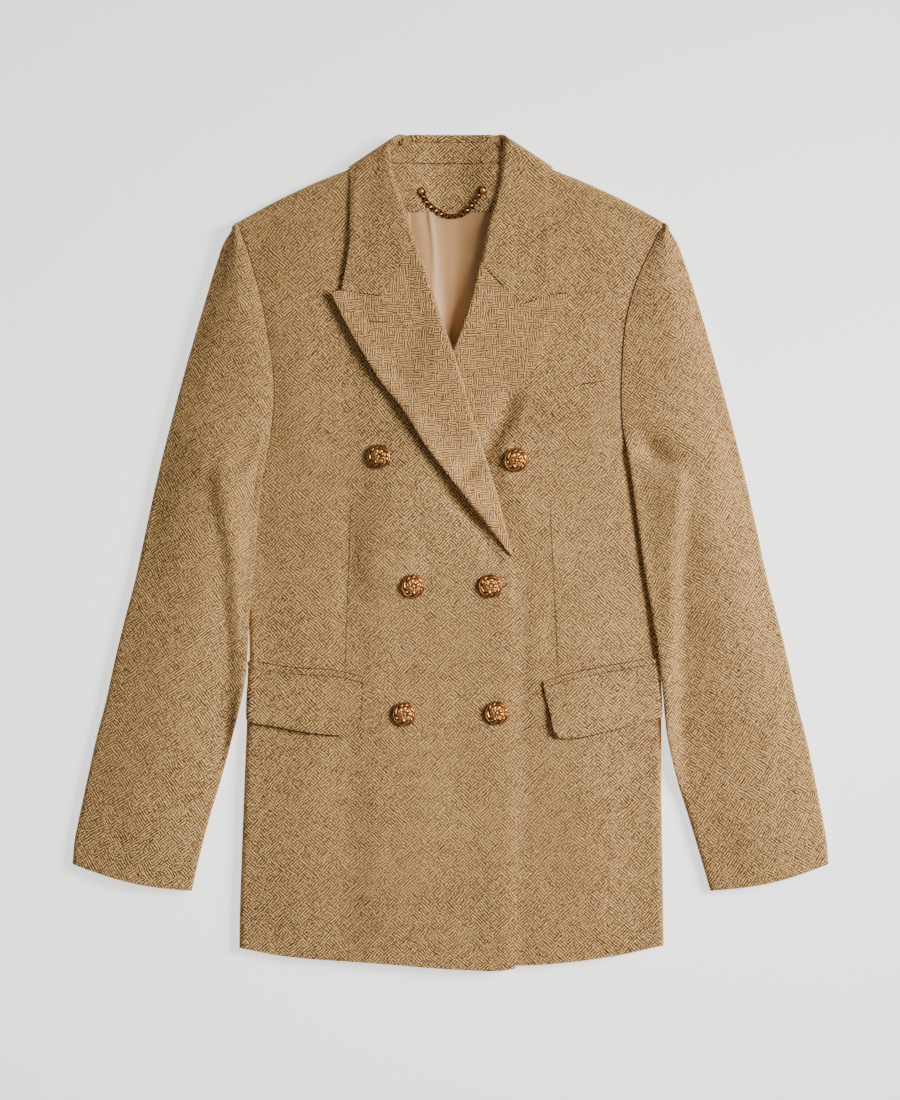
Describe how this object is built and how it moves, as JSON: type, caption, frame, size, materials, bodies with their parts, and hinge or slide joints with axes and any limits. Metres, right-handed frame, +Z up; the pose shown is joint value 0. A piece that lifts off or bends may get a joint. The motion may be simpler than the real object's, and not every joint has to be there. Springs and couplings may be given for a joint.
{
  "type": "double breasted blazer",
  "caption": "Double-breasted blazer laid flat, face up: peak lapels folded back, overlapping fronts with metal buttons, flap pockets, breast welt, long sleeves.",
  "frame": {"origin": "middle of the garment's box on the surface it lies on, at the centre front between the two button columns", "axes": "+X towards the viewer's right (the wearer's left side), +Y from the hem towards the collar, +Z up from the surface, out of the face of the garment"},
  "size_m": [0.7048, 0.7784, 0.032],
  "materials": {
    "tan_weave": "matte, two-tone basket weave of tan and dark tan yarn",
    "lining_satin": "soft satin sheen",
    "antique_gold": "embossed, copper-gold with dark hollows"
  },
  "bodies": {
    "root": {"back_left": "tan_weave", "back_neck_facing": "tan_weave", "back_right": "tan_weave", "breast_welt": "tan_weave", "button_low_left": "antique_gold", "button_low_right": "antique_gold", "button_middle_left": "antique_gold", "button_middle_right": "antique_gold", "button_top_left": "antique_gold", "button_top_right": "antique_gold", "collar": "tan_weave", "collar_stand": "tan_weave", "flap_left": "tan_weave", "flap_right": "tan_weave", "front_left": "tan_weave", "front_right": "tan_weave", "hanger_chain": "antique_gold", "jet_left": "tan_weave", "jet_right": "tan_weave", "lapel_left": "tan_weave", "lapel_right": "tan_weave", "lining": "lining_satin", "side_panel_left": "tan_weave", "side_panel_right": "tan_weave", "stud_left": "antique_gold", "stud_right": "antique_gold", "top_sleeve_left": "tan_weave", "top_sleeve_right": "tan_weave", "under_sleeve_left": "tan_weave", "under_sleeve_right": "tan_weave"}
  },
  "joints": []
}
